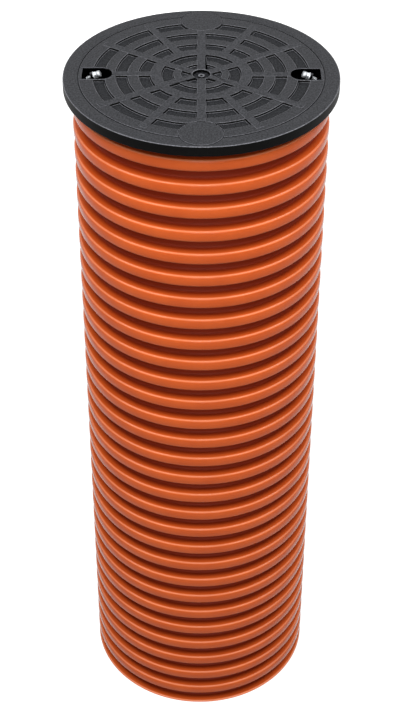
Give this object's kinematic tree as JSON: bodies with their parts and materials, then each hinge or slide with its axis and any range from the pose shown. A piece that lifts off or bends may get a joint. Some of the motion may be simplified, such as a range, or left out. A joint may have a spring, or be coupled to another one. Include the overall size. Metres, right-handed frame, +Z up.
{
  "type": "inspection chamber shaft",
  "caption": "Upright corrugated plastic inspection chamber shaft, open at its foot and closed by a round moulded plastic cover that angled lock screws hold.",
  "frame": {"origin": "centre of the foot, on the floor", "axes": "+Z up along the shaft; the two screw slots of the cover lie on the X axis"},
  "size_m": [0.3448, 0.3448, 1.0074],
  "materials": {
    "shaft_plastic": "satin orange-brown polypropylene, extruded and corrugated",
    "cover_plastic": "fine-grained black polypropylene, injection moulded",
    "zinc_plated_steel": "bright zinc-plated steel"
  },
  "bodies": {
    "root": {"shaft": "shaft_plastic", "lid": "cover_plastic", "lock_screw_left": "zinc_plated_steel", "lock_screw_right": "zinc_plated_steel", "lock_nut_left": "zinc_plated_steel", "lock_nut_right": "zinc_plated_steel"}
  },
  "joints": []
}
